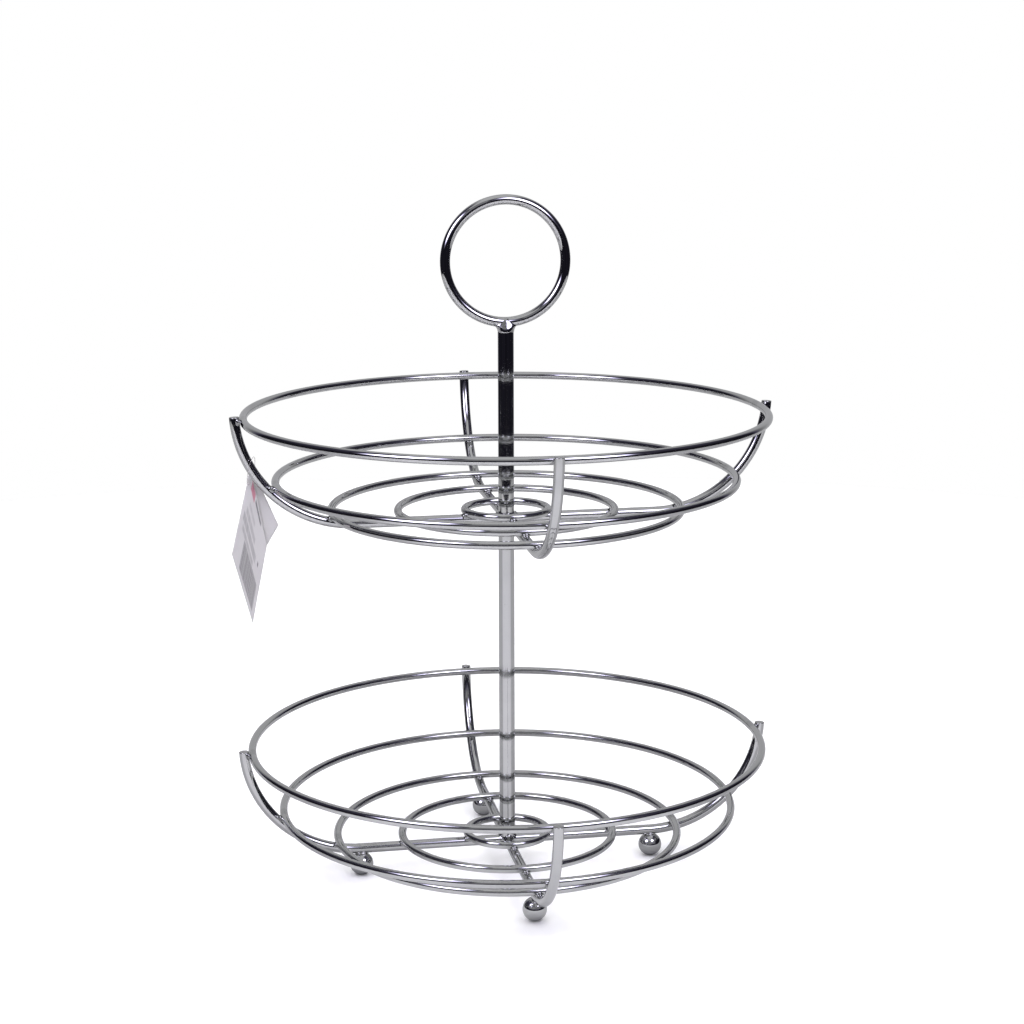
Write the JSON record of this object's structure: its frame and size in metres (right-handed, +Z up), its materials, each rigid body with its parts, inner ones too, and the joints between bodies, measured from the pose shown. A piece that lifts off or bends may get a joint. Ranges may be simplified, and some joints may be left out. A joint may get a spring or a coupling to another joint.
{
  "type": "tiered basket stand",
  "caption": "Chromed wire stand with two round open baskets one above the other on a central post, a ring handle on top and four ball feet, for fruit, bread or cakes.",
  "frame": {"origin": "on the table, under the axis of the central post", "axes": "+Z up along the post; the ribs lie along X and Y; the handle ring stands in the XZ plane; the front is -Y and the hang tag is on the -X side"},
  "size_m": [0.2738, 0.2738, 0.3454],
  "materials": {
    "chrome_wire": "bright chrome plate on drawn steel wire",
    "chrome_post": "bright chrome plate on steel tube",
    "chrome_ball": "bright chrome plate on steel balls",
    "zinc_steel": "zinc plated thread",
    "tag_card": "folded card, light grey",
    "tag_nylon": "thin moulded nylon loop"
  },
  "bodies": {
    "lower_basket": {"lower_hub_ring": "chrome_wire", "lower_inner_ring": "chrome_wire", "lower_floor_ring": "chrome_wire", "lower_side_ring": "chrome_wire", "lower_rim_ring": "chrome_wire", "lower_rib_side_to_side": "chrome_wire", "lower_rib_front_to_back": "chrome_wire", "foot_right": "chrome_ball", "foot_back": "chrome_ball", "foot_left": "chrome_ball", "foot_front": "chrome_ball", "lower_post": "chrome_post", "lower_post_insert": "zinc_steel"},
    "upper_basket": {"upper_hub_ring": "chrome_wire", "upper_inner_ring": "chrome_wire", "upper_floor_ring": "chrome_wire", "upper_side_ring": "chrome_wire", "upper_rim_ring": "chrome_wire", "upper_rib_right": "chrome_wire", "upper_rib_back": "chrome_wire", "upper_rib_left": "chrome_wire", "upper_rib_front": "chrome_wire", "upper_hub": "chrome_post"},
    "handle": {"upper_post": "chrome_post", "handle_stud": "zinc_steel", "handle_saddle": "chrome_post", "handle_ring": "chrome_wire"},
    "hang_tag": {"hang_tag": "tag_card", "tag_loop": "tag_nylon"}
  },
  "joints": [
    {"name": "upper_basket_lift", "type": "slide", "parent": "lower_basket", "child": "upper_basket", "axis": [0, 0, 1], "range_m": [0, 0.06]},
    {"name": "handle_lift", "type": "slide", "parent": "upper_basket", "child": "handle", "axis": [0, 0, 1], "range_m": [0, 0.05]},
    {"name": "tag_swing", "type": "hinge", "parent": "upper_basket", "child": "hang_tag", "pos_m": [-0.1267, 0, 0.2135], "axis": [1, 0, 0], "range_deg": [-3, 40]}
  ]
}
